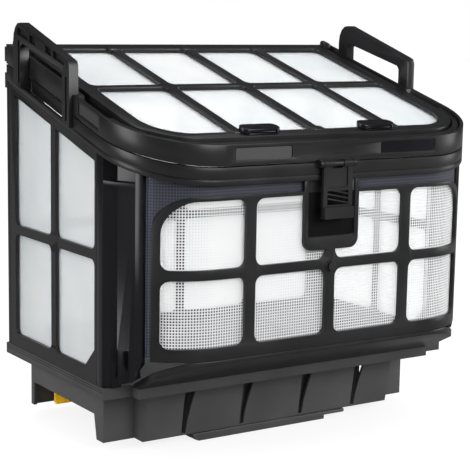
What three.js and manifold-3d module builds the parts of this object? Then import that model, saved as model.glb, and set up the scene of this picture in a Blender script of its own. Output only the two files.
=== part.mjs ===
// Filter basket of a pool cleaner: a sloped lid with a filter grid, a framed body with filter
// panels, two carrying handles, a front latch and a base with an inlet duct and a hanging flap.
// Millimetres, +Z up, -Y is the front with the latch, and the basket rests on the inlet collar.
import * as THREE from 'three';
import { mergeVertices } from 'three/addons/utils/BufferGeometryUtils.js';
import Module from 'manifold-3d';

// ---- overall sizes -------------------------------------------------------------------------
const HALF_WIDTH = 150;         // half the width over the lid and body rings
const FRONT_Y = -105.5;         // front face of the rings
const REAR_Y = 103;             // rear face of the rings
const CORNER_R = 60;            // plan radius of the two front corners
const WALL = 2.5;               // wall of every moulded shell
const FIT = 0.3;                // gap left between pieces that meet
const ARC_STEPS = 10;           // straight steps in a quarter circle

// ---- heights, measured from the bottom of the inlet collar ----------------------------------
const SKIRT_BOTTOM = 6;
const TRAY_BOTTOM = 46;
const TRAY_TOP = 54;
const PANEL_BOTTOM = TRAY_TOP + FIT;
const LID_PLANE = 252.21;       // height of the lid's top plane above the origin
const LID_SLOPE = 0.2824;       // rise of that plane per millimetre towards the rear

// ---- depths below the lid's sloped top plane --------------------------------------------------
const LID_DEPTH = 14;
const RING_TOP = LID_DEPTH + 1; // the dark line between lid and body is 1 mm wide
const RING_DEPTH = 26.8;
const PANEL_TOP = RING_DEPTH + FIT;
const HANDLE_SEAT = 23.1;

// ---- lid grid -----------------------------------------------------------------------------------
const GRID = { half: 138, front: -92, rear: 102.5, corner: 40, thick: 3 };
const GLAZED = { half: 127.3, front: -83.5, rear: 91.6, corner: 30 };
const BAR_X = [-66, 0, 66];
const BAR_WIDTH = 7.2;
const CROSS_BAR = [6, 10.8];
const WEB = { half: 131, front: -86, rear: 94, corner: 34, thick: 2.5 };

// ---- handles ------------------------------------------------------------------------------------
const HANDLE = { inner: 145.6, outer: 152.7, front: -5.7, rear: 84.7, leg: 11 };
const HANDLE_NOTCH = [-6.6, 85.6];
const NOTCH_X = 145.2;

// ---- filter panels --------------------------------------------------------------------------------
const SIDE_COLUMNS = [[-37.5, 22], [29, 89.7]];
const ROW_LOW = [64.4, 140.8];
const ROW_HIGH_BOTTOM = 147.8;
const WINDOW_TOP_DEPTH = 33.5;
const SIDE_PANEL = { front: -40.3, rear: 98.4, bottom: 55 };
const REAR_POST = 99.4;
const CLOTH = 0.7;

// ---- front frame ------------------------------------------------------------------------------------
const FRONT = { inset: 2, bottom: 78.1, top: 188, end: -84.4, side: 128.4 };
const FRONT_BARS = [-66.6, 0, 66.6];
const FRONT_BAR = 8;
const FRONT_ROWS = [[86.8, 133], [139.8, 185.5]];
const POCKET = { half: 23.5, bottom: 146.5, top: 195, cheek: 3.5, lip: 9 };

// ---- latch ----------------------------------------------------------------------------------------------
const LATCH = { half: 12.4, y: -108.6, z: 207, bottom: 169.1, thick: 2.6 };
const LATCH_ARM = 208.7;        // underside of the latch's arms on the lid ring
const LATCH_PIN_R = 1.2;
const KNUCKLE_R = 2.7;
const PIN_FIT = 0.08;

// ---- lid hinge ------------------------------------------------------------------------------------------
const HINGE = { y: 106.4, z: 264.3, r: 3.2, pin: 1.5 };
const LID_ARM = [267.6, 269.8]; // heights of the lid's hinge arms
const BODY_ARM = [256.5, 262];  // heights of the body's hinge arms
const HINGE_SPANS = { lid: [95, 115], body: [[80, 94.7], [115.3, 130]], pin: [79, 131] };

// ---- base -----------------------------------------------------------------------------------------------
const APRON_HALF = 130.6;
const TRAY = { rear: 107, shoulder: -51.5, front: -61.5, nose: 128 };
const SKIRT = { half: 135, front: -23, rear: 95, nose: 110, noseLow: -35, noseHigh: -42 };
const SLOTS = [-76.5, -26.6, 26.6, 76.5];
const DUCT = { half: 68.2, front: -31.8, rear: 60, wall: 2.2 };
const COLLAR = { half: 68.5, front: -36, rear: 62, step: 49.5, stepRise: 3 };
const FLAP = { half: 118.5, y: 88.5, z: 39.6, low: 5, thick: 2 };
const BASE_SCREWS = [[-127, -14], [127, -14], [-127, 70], [127, 70]];
const BASE_BOSS_R = 6;

const manifold = await Module();
manifold.setup();

// ---- solid helpers ------------------------------------------------------------------------------------
function toSolid(geometry) {
  const plain = geometry.clone();
  plain.deleteAttribute('normal');
  plain.deleteAttribute('uv');
  const welded = mergeVertices(plain, 1e-4);
  return new manifold.Manifold(new manifold.Mesh({
    numProp: 3,
    vertProperties: new Float32Array(welded.attributes.position.array),
    triVerts: new Uint32Array(welded.index.array),
  }));
}

function toGeometry(solid) {
  const mesh = solid.getMesh();
  const geometry = new THREE.BufferGeometry();
  geometry.setAttribute('position', new THREE.BufferAttribute(mesh.vertProperties, 3));
  geometry.setIndex(new THREE.BufferAttribute(mesh.triVerts, 1));
  return geometry;
}

function join(...geometries) {
  return toGeometry(geometries.map(toSolid).reduce((sum, next) => sum.add(next)));
}

function cut(geometry, ...tools) {
  return toGeometry(tools.map(toSolid).reduce((left, tool) => left.subtract(tool), toSolid(geometry)));
}

function clip(geometry, limit) {
  return toGeometry(toSolid(geometry).intersect(toSolid(limit)));
}

function box([x0, x1], [y0, y1], [z0, z1]) {
  const geometry = new THREE.BoxGeometry(x1 - x0, y1 - y0, z1 - z0);
  return geometry.translate((x0 + x1) / 2, (y0 + y1) / 2, (z0 + z1) / 2);
}

function slab(shape, z0, z1) {
  const options = { depth: z1 - z0, bevelEnabled: false, curveSegments: ARC_STEPS };
  return new THREE.ExtrudeGeometry(shape, options).translate(0, 0, z0);
}

function polygon(points) {
  return new THREE.Shape(points.map(([a, b]) => new THREE.Vector2(a, b)));
}

// A side view drawn as (y, z), made solid between two x positions.
function sideSlab(points, x0, x1) {
  const turned = new THREE.Matrix4().set(0, 0, 1, 0, 1, 0, 0, 0, 0, 1, 0, 0, 0, 0, 0, 1);
  return slab(polygon(points), x0, x1).applyMatrix4(turned);
}

// A front view drawn as (x, z), made solid between two y positions.
function frontSlab(points, y0, y1) {
  const turned = new THREE.Matrix4().set(1, 0, 0, 0, 0, 0, -1, 0, 0, 1, 0, 0, 0, 0, 0, 1);
  return slab(polygon(points), -y1, -y0).applyMatrix4(turned);
}

function rodX(radius, x0, x1, y, z, steps = 16) {
  const geometry = new THREE.CylinderGeometry(radius, radius, x1 - x0, steps);
  return geometry.rotateZ(-Math.PI / 2).translate((x0 + x1) / 2, y, z);
}

function rodY(radius, y0, y1, x, z, steps = 16) {
  const geometry = new THREE.CylinderGeometry(radius, radius, y1 - y0, steps);
  return geometry.translate(x, (y0 + y1) / 2, z);
}

function rodZ(radius, z0, z1, x, y, steps = 16) {
  const geometry = new THREE.CylinderGeometry(radius, radius, z1 - z0, steps);
  return geometry.rotateX(Math.PI / 2).translate(x, y, (z0 + z1) / 2);
}

function mirrored(geometry) {
  const flipped = geometry.index ? geometry.toNonIndexed() : geometry.clone();
  flipped.scale(-1, 1, 1);
  const position = flipped.attributes.position;
  for (let i = 0; i < position.count; i += 3) {
    const first = new THREE.Vector3().fromBufferAttribute(position, i);
    const second = new THREE.Vector3().fromBufferAttribute(position, i + 1);
    position.setXYZ(i, second.x, second.y, second.z);
    position.setXYZ(i + 1, first.x, first.y, first.z);
  }
  return flipped;
}

// ---- shapes of this basket -----------------------------------------------------------------------------
function outline(half, front, rear, corner) {
  const shape = new THREE.Shape();
  const centreX = half - corner;
  const centreY = front + corner;
  shape.moveTo(half, rear);
  shape.lineTo(-half, rear);
  shape.lineTo(-half, centreY);
  shape.absarc(-centreX, centreY, corner, Math.PI, 1.5 * Math.PI, false);
  shape.absarc(centreX, centreY, corner, 1.5 * Math.PI, 2 * Math.PI, false);
  shape.closePath();
  return shape;
}

function ringOutline(inset) {
  return outline(HALF_WIDTH - inset, FRONT_Y + inset, REAR_Y - inset, CORNER_R - inset);
}

function band(outerInset, innerInset, z0, z1) {
  return cut(slab(ringOutline(outerInset), z0, z1), slab(ringOutline(innerInset), z0 - 1, z1 + 1));
}

function sloped(geometry) {
  const shear = new THREE.Matrix4();
  shear.set(1, 0, 0, 0, 0, 1, 0, 0, 0, LID_SLOPE, 1, LID_PLANE, 0, 0, 0, 1);
  return geometry.applyMatrix4(shear);
}

function planeAt(y, depth) {
  return LID_PLANE + LID_SLOPE * y - depth;
}

function underPlane(depth) {
  return sloped(box([-200, 200], [-200, 200], [-400, -depth]));
}

function rearTabs(z0, root, z1) {
  return [[-149.8, -144], [144, 149.8]].map((x) => join(
    box(x, [REAR_Y + FIT, REAR_Y + 3.3], [z0, z1]),
    box(x, [REAR_Y - 1, REAR_Y + 1], [root, z1]),
  ));
}

// ---- lid --------------------------------------------------------------------------------------------------
function lidRing() {
  const wall = band(0, WALL, -LID_DEPTH, 0);
  const web = cut(
    slab(ringOutline(1), -LID_DEPTH, WEB.thick - LID_DEPTH),
    slab(outline(WEB.half, WEB.front, WEB.rear, WEB.corner), -LID_DEPTH - 1, 0),
  );
  const step = clip(band(4, 8.2, -LID_DEPTH + 1, -1.4), box([-200, 200], [-200, -48], [-20, 5]));
  let ring = join(wall, web, step);
  for (const side of [-1, 1]) {
    const outside = [NOTCH_X, 160].map((x) => x * side).sort((a, b) => a - b);
    const inside = [NOTCH_X - WALL, NOTCH_X].map((x) => x * side).sort((a, b) => a - b);
    const [front, rear] = HANDLE_NOTCH;
    ring = cut(ring, box(outside, HANDLE_NOTCH, [-20, 5]));
    ring = join(ring, box(inside, [front - WALL, rear + WALL], [-LID_DEPTH, 0]));
    ring = join(ring, ...[front - WALL, rear].map((y) => {
      const turnback = [NOTCH_X - WALL, HALF_WIDTH - 1].map((x) => x * side).sort((a, b) => a - b);
      return box(turnback, [y, y + WALL], [-LID_DEPTH, 0]);
    }));
  }
  const rearSeat = GRID.half + FIT;
  ring = cut(ring, box([-rearSeat, rearSeat], [97, 110], [WEB.thick - LID_DEPTH, 5]));
  ring = sloped(ring);
  const lugs = [-1, 1].flatMap((side) => hingeKnuckles(side, [HINGE_SPANS.lid], LID_ARM));
  const lug = (side) => {
    const span = [LATCH.half + 0.4, LATCH.half + 3].map((x) => x * side).sort((a, b) => a - b);
    const arm = box(span, [LATCH.y, FRONT_Y + 1], [LATCH_ARM, LATCH.z + KNUCKLE_R]);
    const eye = rodX(KNUCKLE_R, span[0], span[1], LATCH.y, LATCH.z);
    return join(arm, eye);
  };
  const reach = LATCH.half + 4;
  return cut(
    join(ring, ...lugs, ...rearTabs(268.5, 268.5, 279.3), lug(-1), lug(1)),
    rodX(HINGE.pin + PIN_FIT, -140, 140, HINGE.y, HINGE.z),
    rodX(LATCH_PIN_R + PIN_FIT, -reach, reach, LATCH.y, LATCH.z),
  );
}

function hingeKnuckles(side, spans, root) {
  return spans.map((span) => {
    const [x0, x1] = span.map((x) => x * side).sort((a, b) => a - b);
    const heights = [HINGE.z, ...root].sort((a, b) => a - b);
    const arm = box([x0, x1], [REAR_Y + 0.4, HINGE.y + 1], [heights[0], heights[2]]);
    const foot = box([x0, x1], [REAR_Y - 1, HINGE.y + 1], root);
    return join(rodX(HINGE.r, x0, x1, HINGE.y, HINGE.z), arm, foot);
  });
}

function lidGrid() {
  const outer = slab(outline(GRID.half, GRID.front, GRID.rear, GRID.corner), -GRID.thick, 0);
  const glazed = outline(GLAZED.half, GLAZED.front, GLAZED.rear, GLAZED.corner);
  const border = cut(outer, slab(glazed, -20, 5));
  const under = WEB.thick - LID_DEPTH + FIT;
  const skirtOuter = slab(outline(GRID.half, GRID.front, GRID.rear, GRID.corner), under, -1);
  const { half, front, rear, corner } = GRID;
  const skirtInner = outline(half - WALL, front + WALL, rear - WALL, corner - WALL);
  const skirt = cut(skirtOuter, slab(skirtInner, -20, 5));
  const bars = BAR_X.map((x) => {
    const span = [x - BAR_WIDTH / 2, x + BAR_WIDTH / 2];
    return box(span, [GLAZED.front - 1, GLAZED.rear + 1], [-GRID.thick, 0]);
  });
  const cross = box([-GLAZED.half - 1, GLAZED.half + 1], CROSS_BAR, [-GRID.thick, 0]);
  return sloped(join(border, skirt, cross, ...bars));
}

function lidCloth() {
  const top = -GRID.thick - FIT;
  const { half, front, rear, corner } = GLAZED;
  return sloped(slab(outline(half + 4, front - 4, rear + 4, corner + 4), top - CLOTH, top));
}

function lidClip(centre) {
  const shape = new THREE.Shape();
  const half = 15.5 - 5;
  shape.absarc(centre + half, -86, 5, -Math.PI / 2, Math.PI / 2, false);
  shape.absarc(centre - half, -86, 5, Math.PI / 2, 1.5 * Math.PI, false);
  shape.closePath();
  return sloped(slab(shape, FIT, 4));
}

// ---- latch -------------------------------------------------------------------------------------------------
function latchPlate() {
  const { half, y, z, bottom, thick } = LATCH;
  const face = [y - thick / 2, y + thick / 2];
  const plate = box([-half, half], face, [bottom, z]);
  const knuckle = rodX(KNUCKLE_R, -half, half, y, z);
  const lip = box([-half, half], [y - thick / 2 - 2.6, y], [bottom, bottom + 8]);
  const bump = box([-9, 9], [y, FRONT_Y - FIT], [196.4, 200]);
  const gap = 4.4;
  return cut(
    join(plate, knuckle, lip, bump),
    box([-9, 9], [y - 5, y + 5], [bottom + 9.4, bottom + 19]),
    box([-gap, gap], [y - 5, y + 5], [z - 3.4, z + 5]),
    rodX(LATCH_PIN_R + PIN_FIT, -half - 1, half + 1, y, z),
  );
}

function sleeveX(outer, inner, x0, x1, y, z) {
  return cut(rodX(outer, x0, x1, y, z), rodX(inner, x0 - 1, x1 + 1, y, z));
}

// ---- body -----------------------------------------------------------------------------------------------------
function bodyRing() {
  let ring = band(0, WALL, -RING_DEPTH, -RING_TOP);
  for (const side of [-1, 1]) {
    const span = [NOTCH_X - 1, 160].map((x) => x * side).sort((a, b) => a - b);
    ring = cut(ring, box(span, HANDLE_NOTCH, [-HANDLE_SEAT, 5]));
  }
  const spans = HINGE_SPANS.body;
  const lugs = [-1, 1].flatMap((side) => hingeKnuckles(side, spans, BODY_ARM));
  const bore = rodX(HINGE.pin + PIN_FIT, -140, 140, HINGE.y, HINGE.z);
  return cut(join(sloped(ring), ...lugs, ...rearTabs(249, 255, 260.3)), bore);
}

function sideWindow([y0, y1], bottom, top, chamfer) {
  const topAt = (y) => (top === null ? planeAt(y, WINDOW_TOP_DEPTH) : top);
  const start = chamfer ? [[y0, bottom + 23], [y0 + 9.5, bottom]] : [[y0, bottom]];
  const points = [...start, [y1, bottom], [y1, topAt(y1)], [y0, topAt(y0)]];
  return sideSlab(points, HALF_WIDTH - 10, HALF_WIDTH + 10);
}

function sidePanel() {
  const { front, rear } = SIDE_PANEL;
  const face = HALF_WIDTH - 0.2;
  const points = [
    [front, SIDE_PANEL.bottom], [rear, SIDE_PANEL.bottom],
    [rear, planeAt(rear, PANEL_TOP)], [front, planeAt(front, PANEL_TOP)],
  ];
  const windows = SIDE_COLUMNS.flatMap((column, index) => [
    sideWindow(column, ROW_LOW[0], ROW_LOW[1], index === 0),
    sideWindow(column, ROW_HIGH_BOTTOM, null, false),
  ]);
  return cut(sideSlab(points, face - WALL, face), ...windows);
}

function sideCloth() {
  const inner = HALF_WIDTH - 0.2 - WALL - FIT;
  const { front, rear } = SIDE_PANEL;
  const top = WINDOW_TOP_DEPTH - 2.5;
  const low = PANEL_BOTTOM + 4;
  const points = [
    [front + 1, low], [rear - 5, low],
    [rear - 5, planeAt(rear - 5, top)], [front + 1, planeAt(front + 1, top)],
  ];
  return sideSlab(points, inner - CLOTH, inner);
}

function rearPanel() {
  const face = HALF_WIDTH - 0.2;
  const tall = [PANEL_BOTTOM, 300];
  const wall = box([-face, face], [REAR_Y - WALL, REAR_Y], tall);
  const posts = [[-face, WALL - face], [face - WALL, face]].map((span) => {
    return box(span, [REAR_POST, REAR_Y - 1], tall);
  });
  const edges = [-GLAZED.half, ...BAR_X.flatMap((x) => [x - 3.6, x + 3.6]), GLAZED.half];
  const windows = [0, 2, 4, 6].flatMap((i) => [ROW_LOW, [ROW_HIGH_BOTTOM, 240]].map((row) => {
    return box([edges[i], edges[i + 1]], [REAR_Y - 10, REAR_Y + 5], row);
  }));
  return clip(cut(join(wall, ...posts), ...windows), underPlane(PANEL_TOP));
}

function rearCloth() {
  const inner = REAR_Y - WALL - FIT;
  return box([-132, 132], [inner - CLOTH, inner], [PANEL_BOTTOM + 4, 243]);
}

function cornerColumn() {
  const plan = polygon([
    [149.8, -40.7], [147.3, -40.7], [147.3, -47.4], [138.7, -51.4], [131, -68.6],
    [136.2, -76], [134, -79.6], [136.9, -80.7], [139.9, -75.8], [134, -67.4],
    [140.8, -53.3], [149.8, -49],
  ]);
  const wall = clip(slab(plan, PANEL_BOTTOM, 300), underPlane(PANEL_TOP));
  const recess = polygon([[149.6, -48.5], [140.4, -53], [133.6, -67.4], [139.2, -75.4], [146.6, -62]]);
  const cap = slab(recess, 193.5, 196.2);
  const guides = [[144.2, -53], [139.6, -61]].map(([x, y]) => {
    return box([x - 5, x + 0.8], [y - 0.8, y + 0.8], [PANEL_BOTTOM, 81]);
  });
  const foot = sideSlab([[-90, 50], [-90, 78], [-80.7, 77.5], [-76.5, 71], [-70, 64.5],
    [-62, 59], [-53.5, 56], [-53.5, 50]], 120, 160);
  return cut(join(wall, cap, ...guides), foot);
}

// ---- front -----------------------------------------------------------------------------------------------------
function frontFrame() {
  const { inset, bottom, top, end, side } = FRONT;
  const arc = clip(
    band(inset, inset + WALL, bottom, top),
    box([-200, 200], [-200, end], [0, 400]),
  );
  const edges = [-side, ...FRONT_BARS.flatMap((x) => [x - FRONT_BAR / 2, x + FRONT_BAR / 2]), side];
  const windows = [0, 2, 4, 6].flatMap((i) => FRONT_ROWS.map((row) => {
    return box([edges[i], edges[i + 1]], [-130, end + 5], row);
  }));
  const face = FRONT_Y + inset;
  const { half, cheek, lip } = POCKET;
  const pocket = box([-half, half], [face, face + 2.4], [POCKET.bottom, POCKET.top]);
  const hollow = box([cheek - half, half - cheek], [face - 1, face + 1.2],
    [POCKET.bottom + lip, POCKET.top + 1]);
  const boss = rodY(5.5, face - 1.4, face + 1, 0, 135);
  const bore = rodY(1.6, face - 3, face + 5, 0, 135);
  return cut(join(cut(arc, ...windows), cut(pocket, hollow), boss), bore);
}

function frontNet() {
  const inset = FRONT.inset + WALL + 0.5;
  const sheet = band(inset, inset + CLOTH, 79.4, 300);
  const front = clip(sheet, box([-200, 200], [-200, FRONT.end + 3], [0, 400]));
  return cut(clip(front, underPlane(PANEL_TOP)), rodY(2.4, -110, -90, 0, 135));
}

function netBacking() {
  const inset = FRONT.inset + WALL + 0.5 + CLOTH + 0.4;
  const sheet = clip(band(inset, inset + 2, 79.4, 300), box([-200, 200], [-200, FRONT.end + 3], [0, 400]));
  const corner = 18;
  const [low, high] = [FRONT_ROWS[0][0], FRONT_ROWS[1][1]];
  const opening = frontSlab([[-FRONT.side, low], [FRONT.side, low], [FRONT.side, high - corner],
    [FRONT.side - 5, high - 5], [FRONT.side - corner, high], [corner - FRONT.side, high],
    [5 - FRONT.side, high - 5], [-FRONT.side, high - corner]], -130, -70);
  return cut(clip(sheet, underPlane(PANEL_TOP)), opening);
}

function bossScrew() {
  const face = FRONT_Y + FRONT.inset;
  return join(rodY(3.4, face - 3, face - 1.7, 0, 135), rodY(1.4, face - 2, face + 3.4, 0, 135));
}

function frontApron() {
  const plate = sideSlab([[-103.3, 77.8], [-103.3, 75], [-64.5, TRAY_TOP + FIT],
    [-58.5, TRAY_TOP + FIT], [-58.5, 57], [-98.3, 77.8]], -APRON_HALF, APRON_HALF);
  return clip(plate, slab(ringOutline(2.2), 0, 300));
}

// ---- handles -----------------------------------------------------------------------------------------------
function handle() {
  const { inner, outer, front, rear, leg } = HANDLE;
  const foot = (y) => planeAt(y, HANDLE_SEAT - FIT);
  const [gapFront, gapRear] = [front + leg, rear - leg - 0.7];
  const loop = sideSlab([
    [front, foot(front)], [gapFront, foot(gapFront)], [gapFront, 264.5], [gapFront + 2, 267.2],
    [gapRear - 4, 282.6], [gapRear, 280], [gapRear, foot(gapRear)], [rear, foot(rear)],
    [rear, 284], [rear - 0.9, 289.5], [rear - 3.4, 294], [rear - 7.2, 296.9], [rear - 12, 297.5],
    [front + 6, 274.5], [front + 1.6, 272.8], [front, 269.5],
  ], inner, outer);
  const shelf = outer - 2;
  const rise = 0.262;
  const pockets = [[2, 19], [22, 31], [48, 57], [60, 77]].map(([y0, y1]) => sideSlab([
    [y0, 269.2 + rise * y0], [y1, 269.2 + rise * y1],
    [y1, 274.2 + rise * y1], [y0, 274.2 + rise * y0],
  ], shelf, outer + 1));
  const slots = [[1.9, 232, 262], [78, 254, 285]].map(([y, z0, z1]) => {
    return box([shelf, outer + 1], [y - 4, y - 1.4], [z0, z1]);
  });
  const tangs = [[front + 1.5, gapFront - 1.5], [gapRear + 1.5, rear - 1.5]].map(([y0, y1]) => {
    const points = [[y0, planeAt(y0, 30)], [y1, planeAt(y1, 30)],
      [y1, planeAt(y1, 17)], [y0, planeAt(y0, 17)]];
    return sideSlab(points, inner - 2.2, inner + 0.3);
  });
  return join(cut(loop, ...pockets, ...slots), ...tangs);
}

// ---- base --------------------------------------------------------------------------------------------------
function trayShape(inset) {
  const { rear, shoulder, front, nose } = TRAY;
  const half = HALF_WIDTH - inset;
  return polygon([
    [half, rear - inset], [-half, rear - inset], [-half, shoulder + inset],
    [inset - nose, shoulder + inset], [inset - nose, front + inset],
    [nose - inset, front + inset], [nose - inset, shoulder + inset], [half, shoulder + inset],
  ]);
}

function baseTray() {
  const floor = slab(trayShape(0), TRAY_TOP - WALL, TRAY_TOP);
  const rim = cut(slab(trayShape(0), TRAY_BOTTOM, TRAY_TOP - 1), slab(trayShape(WALL), 0, 100));
  const mouth = box([-64, 64], [-28, 56], [0, 100]);
  const bosses = BASE_SCREWS.map(([x, y]) => rodZ(BASE_BOSS_R, TRAY_BOTTOM, TRAY_TOP - 1, x, y));
  const lugs = [-1, 1].map((side) => {
    const span = [FLAP.half + 0.5, FLAP.half + 3.5].map((x) => x * side).sort((a, b) => a - b);
    return box(span, [FLAP.y - 3, FLAP.y + 1.7], [FLAP.z - 3, TRAY_TOP - 1]);
  });
  const holes = BASE_SCREWS.map(([x, y]) => rodZ(2.2, 0, TRAY_TOP - 2, x, y));
  const reach = FLAP.half + 5;
  const bore = rodX(1.5 + PIN_FIT, -reach, reach, FLAP.y, FLAP.z);
  return cut(join(cut(floor, mouth), rim, ...bosses, ...lugs), ...holes, bore);
}

function skirtShape(inset) {
  const { half, front, rear } = SKIRT;
  const side = half - inset;
  return polygon([
    [side, rear - inset], [-side, rear - inset], [-side, front + inset], [side, front + inset],
  ]);
}

function skirtNose(inset) {
  const { nose, noseLow, noseHigh, front } = SKIRT;
  const run = (noseHigh - noseLow) / (TRAY_BOTTOM - SKIRT_BOTTOM);
  const at = (z) => noseLow + run * (z - SKIRT_BOTTOM) + inset;
  const [low, high] = [SKIRT_BOTTOM - inset, TRAY_BOTTOM - FIT + inset];
  const back = front + 4;
  const points = [[at(low), low], [back, low], [back, high], [at(high), high]];
  return sideSlab(points, inset - nose, nose - inset);
}

function baseSkirt() {
  const [low, high] = [SKIRT_BOTTOM, TRAY_BOTTOM - FIT];
  const body = join(slab(skirtShape(0), low, high), skirtNose(0));
  const shell = cut(body, slab(skirtShape(WALL), low - 1, high + 1), skirtNose(WALL));
  const bosses = BASE_SCREWS.map(([x, y]) => rodZ(BASE_BOSS_R, 30, high, x, y));
  const sideGap = sideSlab([[-13, low - 1], [90, low - 1], [90, 24], [-9, 24]], -150, 150);
  const port = box([-106, 106], [SKIRT.rear - 10, SKIRT.rear + 5], [low - 1, 37]);
  const slots = SLOTS.map((x) => frontSlab([[x - 1.8, low + 1.5], [x + 1.8, low + 1.5],
    [x + 2.4, low + 12], [x + 4, low + 22], [x + 7, high - 4], [x - 2.4, high - 4]], -50, -29.3));
  const pockets = [SLOTS[0], SLOTS[3]].map((x) => {
    return box([x - 6, x + 7.7], [SKIRT.noseLow + 1, -27.5], [low + 0.4, high]);
  });
  const bores = BASE_SCREWS.map(([x, y]) => rodZ(2.2, 0, 60, x, y));
  return cut(join(cut(shell, sideGap, port), ...pockets, ...bosses), ...slots, ...bores);
}

function inletDuct() {
  const { half, front, rear, wall } = DUCT;
  const tube = box([-half, half], [front, rear], [2, TRAY_TOP - WALL - FIT]);
  const { half: end, step, stepRise } = COLLAR;
  const top = SKIRT_BOTTOM - FIT;
  const collar = frontSlab([[5 - end, 0], [step, 0], [step, stepRise], [end, stepRise],
    [end, top], [-end, top], [-end, 4.6], [1.4 - end, 1.6]], COLLAR.front, COLLAR.rear);
  const bore = box([wall - half, half - wall], [front + wall, rear - wall], [-1, 60]);
  return cut(join(tube, collar), bore);
}

function inletFlap() {
  const { half, y, z, low, thick } = FLAP;
  const plate = box([-half, half], [y - thick / 2, y + thick / 2], [low, z]);
  const barrel = rodX(2.6, -half, half, y, z);
  const rib = box([-half, half], [y - 3, y], [low, low + 1.6]);
  return cut(join(plate, barrel, rib), rodX(1.5 + PIN_FIT, -half - 1, half + 1, y, z));
}

function baseScrew([x, y]) {
  return join(rodZ(1.9, 26, TRAY_TOP - 3, x, y), rodZ(3.6, 26.4, 29.7, x, y));
}

// ---- assembly ------------------------------------------------------------------------------------------------
const COLOURS = {
  shell: 0x3c3c3f,
  dark: 0x1b1b1d,
  cloth: 0xf2f2f0,
  net: 0xdadada,
  yellow: 0xf2b705,
  steel: 0x9a9a9c,
};
const basket = new THREE.Group();
basket.name = 'pool_cleaner_filter_basket';

function add(name, colour, geometry) {
  const material = new THREE.MeshStandardMaterial({ color: COLOURS[colour], roughness: 0.6 });
  material.name = colour;
  const mesh = new THREE.Mesh(geometry, material);
  mesh.name = name;
  basket.add(mesh);
}

function addPair(name, colour, geometry) {
  add(`${name}_right`, colour, geometry);
  add(`${name}_left`, colour, mirrored(geometry));
}

add('lid_ring', 'shell', lidRing());
add('lid_grid', 'shell', lidGrid());
add('lid_cloth', 'cloth', lidCloth());
add('lid_clip_left', 'dark', lidClip(-50));
add('lid_clip_right', 'dark', lidClip(50));
addPair('hinge_pin', 'steel', rodX(HINGE.pin, ...HINGE_SPANS.pin, HINGE.y, HINGE.z));
add('latch', 'shell', latchPlate());
add('latch_pin', 'steel', rodX(LATCH_PIN_R, -15, 15, LATCH.y, LATCH.z));
add('latch_spring', 'steel', sleeveX(2.2, 1.4, -4, 4, LATCH.y, LATCH.z));
add('body_ring', 'shell', bodyRing());
addPair('side_panel', 'shell', sidePanel());
addPair('side_cloth', 'cloth', sideCloth());
add('rear_panel', 'shell', rearPanel());
add('rear_cloth', 'cloth', rearCloth());
addPair('corner_column', 'dark', cornerColumn());
add('front_frame', 'shell', frontFrame());
add('front_net', 'net', frontNet());
add('net_backing', 'dark', netBacking());
add('front_screw', 'steel', bossScrew());
add('front_apron', 'shell', frontApron());
addPair('handle', 'shell', handle());
add('base_tray', 'shell', baseTray());
add('base_skirt', 'shell', baseSkirt());
add('inlet_duct', 'shell', inletDuct());
add('inlet_flap', 'yellow', inletFlap());
add('flap_pin', 'steel', rodX(1.5, -FLAP.half - 3.3, FLAP.half + 3.3, FLAP.y, FLAP.z));
const corners = ['front_left', 'front_right', 'rear_left', 'rear_right'];
corners.forEach((corner, i) => add(`base_screw_${corner}`, 'steel', baseScrew(BASE_SCREWS[i])));

export default basket;
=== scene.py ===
"""Looks of a pool cleaner's filter basket.

Moulded frames, filter cloth, coarse net, latch, handles and base, on the CAD model's frame.
"""

from math import copysign, cos, hypot, pi, radians, sin

import bmesh
import bpy
from mathutils import Matrix, Vector, noise


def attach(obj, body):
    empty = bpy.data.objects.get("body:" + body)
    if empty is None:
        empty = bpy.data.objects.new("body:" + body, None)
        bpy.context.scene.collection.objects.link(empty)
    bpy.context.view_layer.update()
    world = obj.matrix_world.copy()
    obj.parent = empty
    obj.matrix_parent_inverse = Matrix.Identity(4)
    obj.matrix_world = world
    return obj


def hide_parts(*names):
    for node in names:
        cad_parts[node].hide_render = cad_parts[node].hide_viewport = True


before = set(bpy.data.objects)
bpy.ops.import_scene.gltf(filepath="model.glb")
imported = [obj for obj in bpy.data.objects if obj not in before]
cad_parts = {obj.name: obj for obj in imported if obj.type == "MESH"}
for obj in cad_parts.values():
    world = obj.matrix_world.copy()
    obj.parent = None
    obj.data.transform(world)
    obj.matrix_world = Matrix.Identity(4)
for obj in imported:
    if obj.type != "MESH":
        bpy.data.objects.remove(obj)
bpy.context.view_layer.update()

MM = 0.001
ACROSS, DEEP, UPRIGHT = range(3)

# Sizes in millimetres, as the basket is made: x to the right, y to the rear, z up.
HALF_WIDTH = 150.0
FRONT_Y = -105.5
REAR_Y = 103.0
CORNER_R = 60.0
WALL = 2.5
CELL_R = 5.0
BAR_HALF = 3.6
BAR_X = (-66.0, 0.0, 66.0)
OPENING_HALF = 127.3
FAR = 400.0

# The lid's pieces are drawn flat at height 0 and then sheared onto its plane, which rises to the rear.
LID_PLANE = 252.21
LID_SLOPE = 0.2824
LID_THROUGH = (-20, 5)
GRID_THICK = 3.0
GRID_PLAN = {"half": 138, "front": -92, "rear": 102.5, "corner": 40}
GRID_ROWS = ((-83.5, 6.0), (10.8, 91.6))
GRID_OPENING = {"half": OPENING_HALF, "front": -83.5, "rear": 91.6, "corner": 30}

# Windows of the side and rear walls, two rows high.
PANEL_TOP = 27.1
PANEL_BOTTOM = 54.3
LOW_ROW = (64.4, 140.8)
HIGH_ROW_FOOT = 147.8
HIGH_ROW_BELOW_LID = 33.5
REAR_ROW_TOP = 238
SIDE_THROUGH = (100, 180)
CLOTH_FOOT = 58.5
CLOTH_THICK = 0.25

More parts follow.
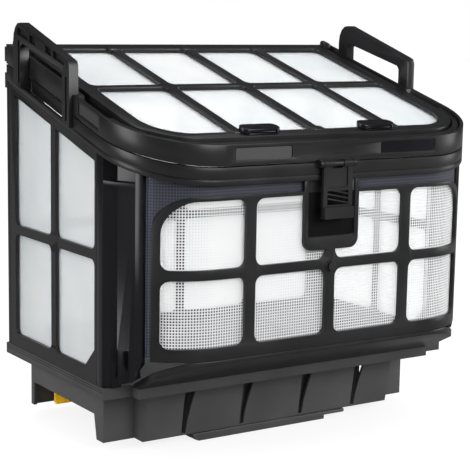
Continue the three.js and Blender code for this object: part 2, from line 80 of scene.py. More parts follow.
# Front frame and its net.
FRAME_FACE = FRONT_Y + 2
FRAME_Z = (78.1, 188)
FRAME_REACH = (-130, -84.4)
FRONT_BAR_X = (-66.6, 0.0, 66.6)
FRONT_BAR_HALF = 4.0
FRONT_OPENING_HALF = 128.4
FRONT_ROWS = ((86.8, 133.0), (139.8, 185.5))
NET_INSET = 5.3
NET_FOOT = 79.6
NET_THICK = 0.3
NET_CORNER = (112.0, 163.0)
NET_CORNER_R = 22.0

# Two fine lines scored round the base flange.
FLANGE_LINES = ((50.3, 50.9), (52.1, 52.7))

# Light levels of the studio.
ROOM_LIGHT = 2.0
ROOM_REFLECTION = 0.07
ROOM_SEEN = 1.0
FLOOR_GLOW = 0.05
FLOOR_SEEN = 0.84
FLOOR_SIZE = 6.0
LIT_MIDDLE = (0.0, 0.0, 0.15)

# Viewpoint in metres and degrees.
VIEW_PLACE = (-0.58728, -0.87460, 0.30948)
VIEW_YAW = -33.505
VIEW_PITCH = 9.252
VIEW_ROLL = 1.028
VIEW_LENS = 108.17
VIEW_SENSOR = 36.0
VIEW_SHIFT = (-0.0079, 0.00996)


# ---------------------------------------------------------------- camera, light and floor
def aim_camera():
    yaw = radians(VIEW_YAW)
    pitch = radians(VIEW_PITCH)
    roll = radians(VIEW_ROLL)
    ahead = Vector((-sin(yaw) * cos(pitch), cos(yaw) * cos(pitch), -sin(pitch)))
    level = Vector((cos(yaw), sin(yaw), 0.0))
    above = level.cross(ahead)
    across = cos(roll) * level + sin(roll) * above
    upward = cos(roll) * above - sin(roll) * level
    data = bpy.data.cameras.new("viewpoint")
    data.sensor_width = VIEW_SENSOR
    data.lens = VIEW_LENS
    data.shift_x, data.shift_y = VIEW_SHIFT
    camera = bpy.data.objects.new("viewpoint", data)
    turn = Matrix((across, upward, -ahead)).transposed().to_4x4()
    camera.matrix_world = Matrix.Translation(VIEW_PLACE) @ turn
    bpy.context.collection.objects.link(camera)
    bpy.context.scene.camera = camera


def softbox(name, place, size, power):
    """A rectangular lamp that faces the middle of the object."""
    data = bpy.data.lights.new(name, "AREA")
    data.shape = "RECTANGLE"
    data.size, data.size_y = size
    data.energy = power
    light = bpy.data.objects.new(name, data)
    light.location = place
    toward = Vector(LIT_MIDDLE) - Vector(place)
    light.rotation_euler = toward.to_track_quat("-Z", "Y").to_euler()
    bpy.context.collection.objects.link(light)


def ray_switch(tree, ray, otherwise, when_hit):
    """One level for a kind of ray, and another level or a node's output for every other ray."""
    path = tree.nodes.new("ShaderNodeLightPath")
    switch = tree.nodes.new("ShaderNodeMapRange")
    tree.links.new(path.outputs[ray], switch.inputs["Value"])
    switch.inputs["To Max"].default_value = when_hit
    if isinstance(otherwise, float):
        switch.inputs["To Min"].default_value = otherwise
    else:
        tree.links.new(otherwise, switch.inputs["To Min"])
    return switch.outputs["Result"]


def studio():
    """A white room, dim in reflections, and four softboxes."""
    scene = bpy.context.scene
    scene.view_settings.view_transform = "Standard"
    world = bpy.data.worlds.new("studio")
    world.use_nodes = True
    tree = world.node_tree
    back = tree.nodes["Background"]
    back.inputs["Color"].default_value = (1.0, 1.0, 1.0, 1.0)
    glossy = ray_switch(tree, "Is Glossy Ray", ROOM_LIGHT, ROOM_REFLECTION)
    level = ray_switch(tree, "Is Camera Ray", glossy, ROOM_SEEN)
    tree.links.new(level, back.inputs["Strength"])
    scene.world = world
    softbox("top_softbox", (0.1, 0.3, 1.6), (1.2, 1.0), 6.0)
    softbox("left_softbox", (-1.5, 0.1, 0.6), (0.7, 1.2), 15.0)
    softbox("front_softbox", (0.4, -1.7, 0.9), (1.0, 0.7), 24.0)
    softbox("right_softbox", (1.5, -0.6, 0.5), (0.6, 1.0), 7.0)


def pale_floor():
    """A plain pale floor, nearly white to the camera and soft in what it sends back."""
    bm = bmesh.new()
    bmesh.ops.create_grid(bm, x_segments=1, y_segments=1, size=FLOOR_SIZE)
    floor = new_object(bm, "floor")
    material, tree, shader = new_material("pale_floor")
    settings(shader, {
        "Base Color": (0.12, 0.12, 0.12, 1.0),
        "Roughness": 0.9,
        "Specular IOR Level": 0.0,
        "Emission Color": (1.0, 1.0, 1.0, 1.0),
    })
    glow = ray_switch(tree, "Is Camera Ray", FLOOR_GLOW, FLOOR_SEEN)
    tree.links.new(glow, shader.inputs["Emission Strength"])
    floor.data.materials.append(material)


# ---------------------------------------------------------------- shaping helpers
def new_object(bm, name):
    mesh = bpy.data.meshes.new(name)
    bm.to_mesh(mesh)
    bm.free()
    piece = bpy.data.objects.new(name, mesh)
    bpy.context.collection.objects.link(piece)
    return piece


def around(middle, half):
    return middle - half, middle + half


def inset(span, step):
    return span[0] + step, span[1] - step


def block(x, y, z):
    """A cuboid between the given pairs of millimetres."""
    bm = bmesh.new()
    size = [high - low for low, high in (x, y, z)]
    middle = [(high + low) / 2 for low, high in (x, y, z)]
    place = Matrix.Translation(middle) @ Matrix.Diagonal((*size, 1.0))
    bmesh.ops.create_cube(bm, size=1.0, matrix=place)
    return new_object(bm, "block")


def round_edges(piece, radius, wanted, steps=10):
    """Rounds the edges for which wanted(start, end) is true."""
    bm = bmesh.new()
    bm.from_mesh(piece.data)
    edges = [edge for edge in bm.edges if wanted(edge.verts[0].co, edge.verts[1].co)]
    bmesh.ops.bevel(bm, geom=edges, offset=radius, segments=steps, profile=0.5,
                    affect="EDGES", material=-1, clamp_overlap=False)
    bm.to_mesh(piece.data)
    bm.free()
    return piece


def along(axis):
    """True for edges that run along one axis."""
    others = [other for other in (ACROSS, DEEP, UPRIGHT) if other != axis]
    return lambda a, b: all(abs(a[other] - b[other]) < 1e-3 for other in others)


def plan_block(step, z, half=HALF_WIDTH, front=FRONT_Y, rear=REAR_Y, corner=CORNER_R):
    """A plan outline with round front corners, moved in by a step, between two heights."""
    piece = block((step - half, half - step), inset((front, rear), step), z)

    def at_front(a, b):
        return along(UPRIGHT)(a, b) and a.y < 0

    return round_edges(piece, corner - step, at_front, steps=20)


def window(x, y, z, axis, radius, wanted=None, steps=6):
    """A cuboid with its edges along one axis rounded, or only those that wanted picks."""
    def chosen(a, b):
        return along(axis)(a, b) and (wanted is None or wanted(a, b))

    return round_edges(block(x, y, z), radius, chosen, steps)


def boolean(piece, other, operation):
    step = piece.modifiers.new("shape", "BOOLEAN")
    step.operation = operation
    step.object = other
    step.solver = "EXACT"
    apply_all(piece)
    bpy.data.objects.remove(other)
    return piece


def carve(piece, *cutters):
    for cutter in cutters:
        boolean(piece, cutter, "DIFFERENCE")
    return piece


def unite(piece, *others):
    for other in others:
        boolean(piece, other, "UNION")
    return piece


def trim(piece, limit):
    return boolean(piece, limit, "INTERSECT")


def apply_all(piece):
    bpy.context.view_layer.update()
    graph = bpy.context.evaluated_depsgraph_get()
    done = bpy.data.meshes.new_from_object(piece.evaluated_get(graph))
    piece.modifiers.clear()
    old = piece.data
    piece.data = done
    done.name = old.name
    bpy.data.meshes.remove(old)


def lid_tilt(piece):
    """Shears a flat-laid piece onto the lid's sloped plane."""
    shear = Matrix.Identity(4)
    shear[2][1] = LID_SLOPE
    shear[2][3] = LID_PLANE
    piece.data.transform(shear)
    return piece


def below_lid(depth):
    """Everything that lies deeper under the lid's plane than the given depth."""
    return lid_tilt(block((-FAR, FAR), (-FAR, FAR), (-FAR, -depth)))


def mirrored(piece):
    """The same piece for the basket's other side."""
    bm = bmesh.new()
    bm.from_mesh(piece.data)
    bmesh.ops.scale(bm, vec=(-1, 1, 1), verts=bm.verts)
    bmesh.ops.reverse_faces(bm, faces=bm.faces)
    return new_object(bm, "mirrored")


def soften(piece, width, steps=2):
    """Rolls the moulded edges over and shades the rounded walls smooth."""
    if width:
        edge = piece.modifiers.new("edge", "BEVEL")
        edge.width = width
        edge.segments = steps
        edge.limit_method = "ANGLE"
        edge.angle_limit = radians(40)
        apply_all(piece)
    piece.data.shade_smooth()
    piece.data.set_sharp_from_angle(angle=radians(32))


def complete(piece, name, body, material, nodes=(), edge=0.5):
    """Edges, metres, material and the frame's facts for one finished piece; edge=None keeps them sharp."""
    piece.name = name
    bm = bmesh.new()
    bm.from_mesh(piece.data)
    bmesh.ops.remove_doubles(bm, verts=bm.verts, dist=1e-3)
    bmesh.ops.dissolve_degenerate(bm, edges=bm.edges, dist=1e-3)
    bm.to_mesh(piece.data)
    bm.free()
    if edge is not None:
        soften(piece, edge)
    piece.data.transform(Matrix.Scale(MM, 4))
    piece.data.materials.clear()
    piece.data.materials.append(material)
    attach(piece, body)
    if nodes:
        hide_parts(*nodes)


def moulded_copy(node):
    """A merged copy of a CAD node in millimetres, ready for softened edges."""
    bm = bmesh.new()
    bm.from_mesh(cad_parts[node].data)
    bmesh.ops.remove_doubles(bm, verts=bm.verts, dist=1e-6)
    bmesh.ops.dissolve_limit(bm, angle_limit=radians(0.6), verts=bm.verts, edges=bm.edges)
    mesh = bpy.data.meshes.new(node)
    faces = [[corner.index for corner in face.verts] for face in bm.faces]
    mesh.from_pydata([vertex.co / MM for vertex in bm.verts], [], faces)
    bm.free()
    piece = bpy.data.objects.new(f"{node}_copy", mesh)
    bpy.context.collection.objects.link(piece)
    return piece


# ---------------------------------------------------------------- materials
def new_material(name):
    """A material with its node tree and its main shader."""
    material = bpy.data.materials.new(name)
    material.use_nodes = True
    tree = material.node_tree
    return material, tree, tree.nodes["Principled BSDF"]


def settings(node, values):
    for label, value in values.items():
        node.inputs[label].default_value = value


def object_noise(tree, scale):
    """Noise that stays with the piece."""
    place = tree.nodes.new("ShaderNodeTexCoord")
    texture = tree.nodes.new("ShaderNodeTexNoise")
    texture.inputs["Scale"].default_value = scale
    tree.links.new(place.outputs["Object"], texture.inputs["Vector"])
    return texture


def math_step(tree, operation, source, other):
    """One sum on a value; other is a number or a node's output."""
    step = tree.nodes.new("ShaderNodeMath")
    step.operation = operation
    tree.links.new(source, step.inputs[0])
    if isinstance(other, float):
        step.inputs[1].default_value = other
    else:
        tree.links.new(other, step.inputs[1])
    return step.outputs["Value"]


def vector_step(tree, operation, source, other=(0.0, 0.0, 0.0)):
    """One sum on a vector; only SUBTRACT and MAXIMUM look at other."""
    step = tree.nodes.new("ShaderNodeVectorMath")
    step.operation = operation
    tree.links.new(source, step.inputs[0])
    if operation in ("SUBTRACT", "MAXIMUM"):
        step.inputs[1].default_value = other
    return step.outputs["Value" if operation == "LENGTH" else "Vector"]


def colour_mix(tree, factor, first, second):
    """A mix of two colours, each a colour or a node's output."""
    mix = tree.nodes.new("ShaderNodeMix")
    mix.data_type = "RGBA"
    tree.links.new(factor, mix.inputs["Factor"])
    for label, colour in (("A", first), ("B", second)):
        if isinstance(colour, tuple):
            mix.inputs[label].default_value = (*colour, 1.0)
        else:
            tree.links.new(colour, mix.inputs[label])
    return mix.outputs["Result"]


def grain_group():
    """Fine moulded grain and faint tone changes, for every plastic of the basket."""
    group = bpy.data.node_groups.new("moulded_grain", "ShaderNodeTree")
    face = group.interface
    colour, value, vector = "NodeSocketColor", "NodeSocketFloat", "NodeSocketVector"
    for label, kind in (("Base", colour), ("Light", colour), ("Roughness", value), ("Grain", value)):
        face.new_socket(name=label, in_out="INPUT", socket_type=kind)
    for label, kind in (("Color", colour), ("Roughness", value), ("Normal", vector)):
        face.new_socket(name=label, in_out="OUTPUT", socket_type=kind)
    links = group.links
    source = group.nodes.new("NodeGroupInput")
    sink = group.nodes.new("NodeGroupOutput")
    fine = object_noise(group, 1500.0)
    fine.inputs["Detail"].default_value = 2.0
    broad = object_noise(group, 22.0)
    broad.inputs["Detail"].default_value = 4.0
    tone = group.nodes.new("ShaderNodeMapRange")
    settings(tone, {"From Min": 0.35, "From Max": 0.75})
    links.new(broad.outputs["Fac"], tone.inputs["Value"])
    mixed = colour_mix(group, tone.outputs["Result"], source.outputs["Base"], source.outputs["Light"])
    links.new(mixed, sink.inputs["Color"])
    rough = group.nodes.new("ShaderNodeMath")
    rough.operation = "MULTIPLY_ADD"
    links.new(tone.outputs["Result"], rough.inputs[0])
    rough.inputs[1].default_value = 0.10
    links.new(source.outputs["Roughness"], rough.inputs[2])
    links.new(rough.outputs["Value"], sink.inputs["Roughness"])
    bump = group.nodes.new("ShaderNodeBump")
    bump.inputs["Distance"].default_value = 0.00006
    links.new(source.outputs["Grain"], bump.inputs["Strength"])
    links.new(fine.outputs["Fac"], bump.inputs["Height"])
    links.new(bump.outputs["Normal"], sink.inputs["Normal"])
    return group


GRAIN = grain_group()


def plastic(name, base, light, roughness, grain=0.35, shine=0.5):
    """A moulded plastic whose tone drifts between two colours."""
    material, tree, shader = new_material(name)
    grains = tree.nodes.new("ShaderNodeGroup")
    grains.node_tree = GRAIN
    settings(grains, {"Base": (*base, 1.0), "Light": (*light, 1.0), "Roughness": roughness, "Grain": grain})
    tree.links.new(grains.outputs["Color"], shader.inputs["Base Color"])
    tree.links.new(grains.outputs["Roughness"], shader.inputs["Roughness"])
    tree.links.new(grains.outputs["Normal"], shader.inputs["Normal"])
    shader.inputs["Specular IOR Level"].default_value = shine
    return material


def threads(tree, pitch, share):
    """Mask of square threads on the sheet's own UV map, in millimetres."""
    uv = tree.nodes.new("ShaderNodeUVMap")
    uv.uv_map = "weave"
    split = tree.nodes.new("ShaderNodeSeparateXYZ")
    tree.links.new(uv.outputs["UV"], split.inputs["Vector"])
    lines = []
    for direction in ("X", "Y"):
        wrapped = math_step(tree, "PINGPONG", split.outputs[direction], pitch / 2)
        lines.append(math_step(tree, "LESS_THAN", wrapped, pitch * share / 2))
    return math_step(tree, "MAXIMUM", *lines)


def cloudy_colour(tree, scale, dark, light, span=(0.0, 1.0)):
    """A soft drift between two colours over the sheet."""
    cloud = object_noise(tree, scale)
    tone = tree.nodes.new("ShaderNodeValToRGB")
    for stop, position, colour in zip(tone.color_ramp.elements, span, (dark, light)):
        stop.position = position
        stop.color = (*colour, 1.0)
    tree.links.new(cloud.outputs["Fac"], tone.inputs["Fac"])
    return tone.outputs["Color"]


def filter_cloth_material():
    """Pale, slightly see-through woven cloth that light soaks into."""
    material, tree, shader = new_material("filter_cloth")
    weave = threads(tree, pitch=0.9, share=0.5)
    colour = cloudy_colour(tree, 13.0, (0.74, 0.81, 0.86), (0.94, 0.97, 0.97), span=(0.3, 0.7))
    tree.links.new(colour, shader.inputs["Base Color"])
    settings(shader, {
        "Roughness": 0.75,
        "Alpha": 0.72,
        "Subsurface Weight": 0.9,
        "Subsurface Radius": (0.01, 0.01, 0.01),
        "Subsurface Scale": 1.0,
        "Sheen Weight": 0.2,
    })
    bump = tree.nodes.new("ShaderNodeBump")
    settings(bump, {"Strength": 0.25, "Distance": 0.0001})
    tree.links.new(weave, bump.inputs["Height"])
    tree.links.new(bump.outputs["Normal"], shader.inputs["Normal"])
    return material


def net_shade_part(tree):
    """Mask of the net outside the round-cornered window frame, over the dark backing, where the net is
    given painted shade.
    """
    place = tree.nodes.new("ShaderNodeUVMap")
    place.uv_map = "weave"
    folded = vector_step(tree, "ABSOLUTE", place.outputs["UV"])
    shifted = vector_step(tree, "SUBTRACT", folded, (*NET_CORNER, 0.0))
    outward = vector_step(tree, "MAXIMUM", shifted)
    reach = vector_step(tree, "LENGTH", outward)
    return math_step(tree, "GREATER_THAN", reach, NET_CORNER_R)


def coarse_net_material():
    """Pale threads with open holes between them, and a closed net coloured dark navy as painted shade over
    the backing.
    """
    material, tree, shader = new_material("coarse_net")
    mesh = threads(tree, pitch=2.0, share=0.37)
    # painted shade: outside the window frame the net is made closed and dark navy, standing in for the
    # shade that falls behind it
    painted_shade = net_shade_part(tree)
    thread_cover = 0.74
    cover = math_step(tree, "MAXIMUM", math_step(tree, "MULTIPLY", mesh, thread_cover), painted_shade)
    tree.links.new(cover, shader.inputs["Alpha"])
    pale = cloudy_colour(tree, 60.0, (0.88, 0.90, 0.91), (0.96, 0.97, 0.97))
    # painted shade: the dark navy threads and holes colour the net where shade lies behind it
    dark = colour_mix(tree, mesh, (0.006, 0.006, 0.012), (0.034, 0.039, 0.062))
    tree.links.new(colour_mix(tree, painted_shade, pale, dark), shader.inputs["Base Color"])
    settings(shader, {
        "Roughness": 0.55,
        "Subsurface Weight": 0.6,
        "Subsurface Radius": (0.01, 0.01, 0.01),
        "Subsurface Scale": 1.0,
    })
    return material


def steel_material():
    """Dark drawn steel for pins, screws and springs."""
    material, tree, shader = new_material("pin_steel")
    lines = object_noise(tree, 900.0)
    spread = tree.nodes.new("ShaderNodeMapRange")
    settings(spread, {"To Min": 0.30, "To Max": 0.50})
    tree.links.new(lines.outputs["Fac"], spread.inputs["Value"])
    tree.links.new(spread.outputs["Result"], shader.inputs["Roughness"])
    settings(shader, {"Base Color": (0.06, 0.06, 0.062, 1.0), "Metallic": 1.0})
    return material


BLACK = plastic("black_moulding", (0.006, 0.006, 0.0065), (0.011, 0.011, 0.012), 0.28, shine=0.34)
BASE_BLACK = plastic("base_moulding", (0.038, 0.037, 0.038), (0.055, 0.053, 0.055), 0.36)
TRAY_BLACK = plastic("tray_moulding", (0.034, 0.033, 0.034), (0.048, 0.047, 0.048), 0.58, shine=0.22)
SMOKY = plastic("smoky_moulding", (0.002, 0.0018, 0.003), (0.005, 0.004, 0.007), 0.18,
                grain=0.1, shine=0.30)
# painted shade: a near-black finish for the plate in the latch's hollow, standing in for the shade inside
# it
POCKET_SHADE = plastic("painted_pocket_shade", (0.001, 0.001, 0.001), (0.002, 0.002, 0.002), 0.60,
                 grain=0.1, shine=0.1)
LABEL = plastic("label_recess", (0.024, 0.024, 0.025), (0.032, 0.032, 0.034), 0.55, grain=0.1)
YELLOW = plastic("yellow_flap", (0.95, 0.50, 0.005), (1.0, 0.58, 0.01), 0.40)
CLOTH = filter_cloth_material()
NET = coarse_net_material()
STEEL = steel_material()


# ---------------------------------------------------------------- lid
def bar_edges(bars, half, end):
    """The openings that upright bars leave between two ends."""
    edges = [-end]
    for x in bars:
        edges += around(x, half)
    edges.append(end)
    return list(zip(edges[::2], edges[1::2]))


def lid_grid():
    """Window grid of the lid with its skirt, and a small pad where each bar meets the rim."""
    grid = plan_block(0, (-GRID_THICK, 0), **GRID_PLAN)
    skirt = plan_block(0, (-11.2, -1), **GRID_PLAN)
    carve(skirt, plan_block(WALL, LID_THROUGH, **GRID_PLAN))
    for x in bar_edges(BAR_X, BAR_HALF, OPENING_HALF):
        for y in GRID_ROWS:
            cell = window(x, y, LID_THROUGH, UPRIGHT, CELL_R)
            if y == GRID_ROWS[0]:
                trim(cell, plan_block(0, (-21, 6), **GRID_OPENING))
            carve(grid, cell)
    unite(grid, skirt)
    for x in BAR_X:
        for y in (GRID_OPENING["front"], GRID_OPENING["rear"]):
            unite(grid, window(around(x, 5.2), around(y, 3), (-2, 0.9), UPRIGHT, 2.0))
    complete(lid_tilt(grid), "lid_window_grid", "lid", BLACK, ["lid_grid"], 0.6)


def lid_ring():
    """Outer ring of the lid, with rear tabs, recesses for the side ribs and two plain labels."""
    labels = {"left": (-82, -36), "right": (40, 90)}
    label_height = (211.5, 220.5)
    ring = moulded_copy("lid_ring")
    carve(ring, lid_tilt(window((-151, -149.2), (-43, -14), (-10.6, -2.4), ACROSS, 1.0)))
    for side in (-1, 1):
        span = sorted((side * 139, side * 145))
        tab = window(span, (96, 102.5), (-3, 3.4), DEEP, 2.2, lambda a, b: a.z > 0)
        unite(ring, lid_tilt(tab))
    for span in labels.values():
        carve(ring, window(span, (-107, -104.9), label_height, DEEP, 1.5))
    complete(ring, "lid_outer_ring", "lid", BLACK, ["lid_ring"], 0.5)
    finishes = {"left": LABEL, "right": SMOKY}
    for side, span in labels.items():
        plate = window(inset(span, 0.6), (-105.2, -104.7), inset(label_height, 0.6), DEEP, 1.2)
        complete(plate, f"label_{side}", "lid", finishes[side], edge=None)
    lid_side_ribs()


def lid_side_ribs():
    """A ribbed plate in the ring's left side."""
    pitch, gap, lowest, count = 1.8, 0.8, -9.6, 4
    ribs = block((-149.6, -148.9), (-42, -15), (-10.2, -2.8))
    for step in range(count):
        low = lowest + pitch * step
        carve(ribs, block((-152, -149.3), (-41.5, -15.5), (low, low + gap)))
    complete(lid_tilt(ribs), "lid_side_ribs", "lid", LABEL, edge=None)


def pulled_in(x, y, half, front, corner):
    """The point itself, or the nearest point of the outline's round front corner if it lies outside."""
    dx = abs(x) - (half - corner)
    dy = front + corner - y
    reach = hypot(dx, dy)
    if dx <= 0 or dy <= 0 or reach <= corner:
        return x, y
    pull = (reach - corner) / reach
    return x - copysign(dx * pull, x), y + dy * pull


def sheet_grid(columns, rows):
    """A unit grid about the origin, whose points each sheet spreads to its own size."""
    bm = bmesh.new()
    bmesh.ops.create_grid(bm, x_segments=columns, y_segments=rows, size=0.5)
    return bm


def spread(share, low, high):
    """A place between two ends, for a share of -0.5 to 0.5."""
    return low + (share + 0.5) * (high - low)


def weave_map(bm):
    """Lays the weave on the sheet while it is still flat."""
    layer = bm.loops.layers.uv.new("weave")
    for face in bm.faces:
        for loop in face.loops:
            loop[layer].uv = loop.vert.co.xy


def ripple(place, height, pace, layer):
    """The soft waviness of a stretched sheet."""
    return height * noise.noise(Vector((place.x * pace, place.y * pace, layer)))


def give_thickness(piece, thickness):
    wall = piece.modifiers.new("thickness", "SOLIDIFY")
    wall.thickness = thickness
    wall.offset = 0.0
    apply_all(piece)


def lid_cloth():
    """Filter cloth stretched under the lid's grid."""
    half, front, rear, corner = 130.8, -87.0, 95.0, 33.5
    below_grid = 0.75
    bm = sheet_grid(88, 62)
    for v in bm.verts:
        x, y = pulled_in(v.co.x * 2 * half, spread(v.co.y, front, rear), half, front, corner)
        v.co = Vector((x, y, 0.0))
    weave_map(bm)
    for v in bm.verts:
        v.co.z = -GRID_THICK - below_grid + ripple(v.co, 0.22, 0.03, 2.0)
    cloth = new_object(bm, "lid_filter_cloth")
    give_thickness(cloth, CLOTH_THICK)
    lid_tilt(cloth)
    complete(cloth, "lid_filter_cloth", "lid", CLOTH, ["lid_cloth"], 0)


def lid_clips():
    """Two hollow-fronted clip bars on the lid's front edge."""
    for side, x in (("left", -50.0), ("right", 50.0)):
        clip = window(around(x, 15.5), (-91.2, -80.8), (0.3, 4.0), UPRIGHT, 5.0)
        carve(clip, window(around(x, 11), (-95, -89.6), (1.2, 3.0), ACROSS, 0.6))
        complete(lid_tilt(clip), f"lid_clip_bar_{side}", "lid", SMOKY,
                 [f"lid_clip_{side}"], 0.7)


# ---------------------------------------------------------------- body
def body_ring():
    """Top ring of the basket, with a scored line round its front and walls behind the handle slots."""
    ring = moulded_copy("body_ring")
    groove = plan_block(-1, (-23.4, -22.7))
    carve(groove, plan_block(0.7, (-30, 0)))
    carve(groove, block((-FAR, FAR), (-8, FAR), (-40, 10)))
    carve(ring, lid_tilt(groove))
    for side in (-1, 1):
        wall = block(sorted((side * 143.4, side * 145.0)), (3, 70), (-24.5, -15.4))
        unite(ring, lid_tilt(wall))
    complete(ring, "body_top_ring", "basket_body", BLACK, ["body_ring"], 0.5)


def is_front_foot(a, b):
    """The lower front edge of a side wall's low windows."""
    return along(ACROSS)(a, b) and a.y < 0 and a.z < 100


def low_side_window(y):
    """A round-cornered cutter; the window at the front has one corner cut off straight."""
    cutter = block(SIDE_THROUGH, y, LOW_ROW)
    round_edges(cutter, CELL_R, lambda a, b: along(ACROSS)(a, b) and not is_front_foot(a, b), 6)
    if y[0] < 0:
        round_edges(cutter, 14.0, is_front_foot, 1)
    return cutter


def high_side_window(y):
    """A cutter that stops a fixed depth under the lid's plane."""
    cutter = window(SIDE_THROUGH, y, (HIGH_ROW_FOOT, 320), ACROSS, CELL_R)
    return trim(cutter, below_lid(HIGH_ROW_BELOW_LID))


def side_panels():
    """Window frames of both side walls."""
    face = HALF_WIDTH - 0.2
    panel = block((face - WALL, face), (-40.3, 98.9), (PANEL_BOTTOM, 300))
    trim(panel, below_lid(PANEL_TOP))
    for y in ((-37.5, 22.0), (29.0, 89.7)):
        carve(panel, low_side_window(y), high_side_window(y))
    left = mirrored(panel)
    for side, piece in (("right", panel), ("left", left)):
        complete(piece, f"side_window_frame_{side}", "basket_body", BLACK,
                 [f"side_panel_{side}"], 0.45)


def hanging_cloth(name, node, width, top, place):
    """A stretched cloth: width and heights are in its own plane, place turns it upright."""
    bm = sheet_grid(54, 60)
    for v in bm.verts:
        across = spread(v.co.x, *width)
        v.co = Vector((across, spread(v.co.y, CLOTH_FOOT, top(across)), 0.0))
    weave_map(bm)
    area = sum(face.calc_area() for face in bm.faces)
    for v in bm.verts:
        v.co.z = ripple(v.co, 0.5, 0.02, 5.0)
    for v in bm.verts:
        v.co = Vector(place(v.co))
    cloth = new_object(bm, name)
    give_thickness(cloth, CLOTH_THICK)
    complete(cloth, name, "basket_body", CLOTH, [node], 0)
    tall = (max(top(width[0]), top(width[1])) - CLOTH_FOOT) * MM


def body_cloths():
    """Filter cloths inside the side and rear walls."""
    def under_lid(y):
        return LID_PLANE + LID_SLOPE * y - 31.0

    for side, sign in (("right", 1), ("left", -1)):
        hanging_cloth(f"side_filter_cloth_{side}", f"side_cloth_{side}", (-39.0, 93.5), under_lid,
                      lambda p, sign=sign: (sign * (146.3 + p.z), p.x, p.y))
    hanging_cloth("rear_filter_cloth", "rear_cloth", (-131.5, 131.5), lambda x: 242.5,
                  lambda p: (p.x, 99.6 + p.z, p.y))


def inner_bars():
    """Inner faces of the moulded window bars, which hold the cloths from the basket's inside."""
    rear = block((-131, 131), (97.9, 98.8), (55, 242))
    for x in bar_edges(BAR_X, BAR_HALF, OPENING_HALF):
        for z in (LOW_ROW, (HIGH_ROW_FOOT, REAR_ROW_TOP)):
            carve(rear, window(x, (90, 110), z, DEEP, CELL_R))
    complete(rear, "rear_inner_bars", "basket_body", BLACK, edge=None)
    right = block((144.2, 145.1), (-38, 95), (55, 300))
    trim(right, below_lid(PANEL_TOP + 3))
    for y in ((-37.0, 22.0), (29.0, 89.7)):
        carve(right, window(SIDE_THROUGH, y, LOW_ROW, ACROSS, CELL_R))
        carve(right, high_side_window(y))
    left = mirrored(right)
    for side, piece in (("right", right), ("left", left)):
        complete(piece, f"side_inner_bars_{side}", "basket_body", BLACK, edge=None)


# ---------------------------------------------------------------- front
def front_outline():
    """The frame's silhouette from the front: round upper corners, and tabs at both ends."""
    def is_top(a, b):
        return along(DEEP)(a, b) and a.z > 150

    outline = round_edges(block((-133, 133), FRAME_REACH, FRAME_Z), 24.0, is_top)
    return unite(outline, block((-135.6, 135.6), FRAME_REACH, (112, 146)))


def front_opening(x, z):
    """A round-cornered cutter, with a broad curve at the frame's own upper corners."""
    def is_broad(a, b):
        return a.z > 180 and abs(abs(a.x) - FRONT_OPENING_HALF) < 1

    cutter = block(x, (-130, -79), z)
    round_edges(cutter, 6.0, lambda a, b: along(DEEP)(a, b) and not is_broad(a, b), 6)
    round_edges(cutter, 22.0, lambda a, b: along(DEEP)(a, b) and is_broad(a, b), 10)
    return cutter


def latch_pocket():
    """Raised surround of the hollow that the latch closes into."""
    def is_low(a, b):
        return along(DEEP)(a, b) and a.z < 150

    surround = block((-23.5, 23.5), (FRAME_FACE, FRAME_FACE + 2.4), (146.5, 195))
    return round_edges(surround, 7.0, is_low, 6)


def centre_boss():
    """A low round boss on the middle bar."""
    bm = bmesh.new()
    turn = Matrix.Translation((0, FRAME_FACE - 0.2, 135)) @ Matrix.Rotation(pi / 2, 4, "X")
    bmesh.ops.create_cone(bm, cap_ends=True, segments=32, radius1=4.4, radius2=4.0, depth=2.4,
                          matrix=turn)
    return new_object(bm, "boss")


def front_window_frame():
    """Front frame with its windows, the latch's hollow and the boss, and a near-black plate of painted
    shade inside the hollow.
    """
    plate = plan_block(2, FRAME_Z)
    carve(plate, plan_block(4.5, (0, 300)))
    trim(plate, front_outline())
    for x in bar_edges(FRONT_BAR_X, FRONT_BAR_HALF, FRONT_OPENING_HALF):
        for z in FRONT_ROWS:
            carve(plate, front_opening(x, z))
    unite(plate, latch_pocket())
    hollow = window((-20, 20), (FRAME_FACE - 1, FRAME_FACE + 1.2), (155.5, 210), DEEP, 2.0)
    carve(plate, hollow)
    unite(plate, centre_boss())
    complete(plate, "front_window_frame", "basket_body", BLACK, ["front_frame"], 0.45)
    # painted shade: a near-black plate in the latch's hollow stands in for the shade inside it
    floor = window((-19.7, 19.7), (FRAME_FACE + 0.9, FRAME_FACE + 1.5), (156, 187), DEEP, 1.8)
    complete(floor, "pocket_shade_plate", "basket_body", POCKET_SHADE, edge=None)


def net_place(along_net, straight, radius):
    """Plan position on the net, which runs straight across and then round both front corners."""
    beyond = max(abs(along_net) - straight, 0.0) / radius
    side = 1 if along_net > 0 else -1
    x = (min(abs(along_net), straight) + radius * sin(beyond)) * side
    y = FRONT_Y + NET_INSET + radius * (1 - cos(beyond))
    return x, y


def front_net():
    """Coarse net behind the front frame, bent round both corners."""
    straight = HALF_WIDTH - CORNER_R
    radius = CORNER_R - NET_INSET
    total = 2 * (straight + radius * radians(56.0))
    bm = sheet_grid(150, 44)
    for v in bm.verts:
        across = v.co.x * total
        y = net_place(across, straight, radius)[1]
        top = LID_PLANE + LID_SLOPE * y - PANEL_TOP - 0.5
        v.co = Vector((across, spread(v.co.y, NET_FOOT, top), 0.0))
    weave_map(bm)
    area = sum(face.calc_area() for face in bm.faces)
    for v in bm.verts:
        x, y = net_place(v.co.x, straight, radius)
        v.co = Vector((x, y + ripple(v.co, 0.15, 0.03, 1.0), v.co.y))
    net = new_object(bm, "front_coarse_net")
    give_thickness(net, NET_THICK)
    complete(net, "front_coarse_net", "basket_body", NET, ["front_net"], 0)


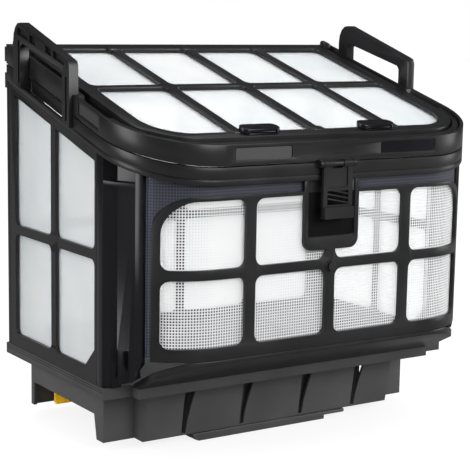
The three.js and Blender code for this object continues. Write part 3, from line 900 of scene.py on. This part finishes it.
def latch():
    """Latch plate with a sunk channel and three slanted grip ribs at its foot."""
    lowest_rib, rib_pitch, rib_count = 181.2, 3.2, 3
    plate = moulded_copy("latch")
    carve(plate, window((-8.4, 8.4), (-112, -109.0), (190.2, 204.5), DEEP, 1.0))
    for step in range(rib_count):
        rib = block((-8.9, 8.9), (-109.9, -107.7), (-0.5, 0.5))
        height = Matrix.Translation((0, 0, lowest_rib + rib_pitch * step))
        rib.data.transform(height @ Matrix.Rotation(radians(12), 4, "Y"))
        trim(rib, block((-9.4, 9.4), (-120, -100), (178.4, 188.2)))
        unite(plate, rib)
    complete(plate, "latch_plate", "front_latch", BLACK, ["latch"], 0.35)


# ---------------------------------------------------------------- handles and base
def handles():
    for side in ("left", "right"):
        complete(moulded_copy(f"handle_{side}"), f"carry_handle_{side}", "basket_body",
                 BLACK, [f"handle_{side}"], 0.6)


def score_flange(flange):
    """Two fine lines along both sides of the base flange."""
    for height in FLANGE_LINES:
        for side in (-1, 1):
            ends = sorted((side * (HALF_WIDTH - 0.7), side * (HALF_WIDTH + 5)))
            carve(flange, block(ends, (-51, 106), height))


def base():
    """Base pieces, flap, corner posts, net backing and rear frame, on the CAD model's own shapes."""
    flange = moulded_copy("base_tray")
    score_flange(flange)
    complete(flange, "base_flange", "basket_body", TRAY_BLACK, ["base_tray"], 0.5)
    for node, name, material, edge in (("base_skirt", "lower_skirt", BASE_BLACK, 0.5),
                                       ("inlet_duct", "inlet_collar", BASE_BLACK, 0.6),
                                       ("front_apron", "front_deck", BLACK, 0.4)):
        complete(moulded_copy(node), name, "basket_body", material, [node], edge)
    complete(moulded_copy("inlet_flap"), "yellow_inlet_flap", "flap", YELLOW,
             ["inlet_flap"], 0.4)
    for side in ("left", "right"):
        complete(moulded_copy(f"corner_column_{side}"), f"corner_post_{side}", "basket_body",
                 SMOKY, [f"corner_column_{side}"], 0.4)
    complete(moulded_copy("net_backing"), "net_backing_frame", "basket_body",
             SMOKY, ["net_backing"], 0.3)
    complete(moulded_copy("rear_panel"), "rear_window_frame", "basket_body",
             BLACK, ["rear_panel"], 0.45)


def finish_small_nodes():
    """Steel on the pins, screws and springs, which keep the CAD model's own meshes."""
    for name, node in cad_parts.items():
        if any(word in name for word in ("pin", "screw", "spring")):
            node.data.materials.clear()
            node.data.materials.append(STEEL)


aim_camera()
studio()
pale_floor()
lid_grid()
lid_ring()
lid_cloth()
lid_clips()
body_ring()
side_panels()
base()
body_cloths()
inner_bars()
front_window_frame()
front_net()
latch()
handles()
finish_small_nodes()
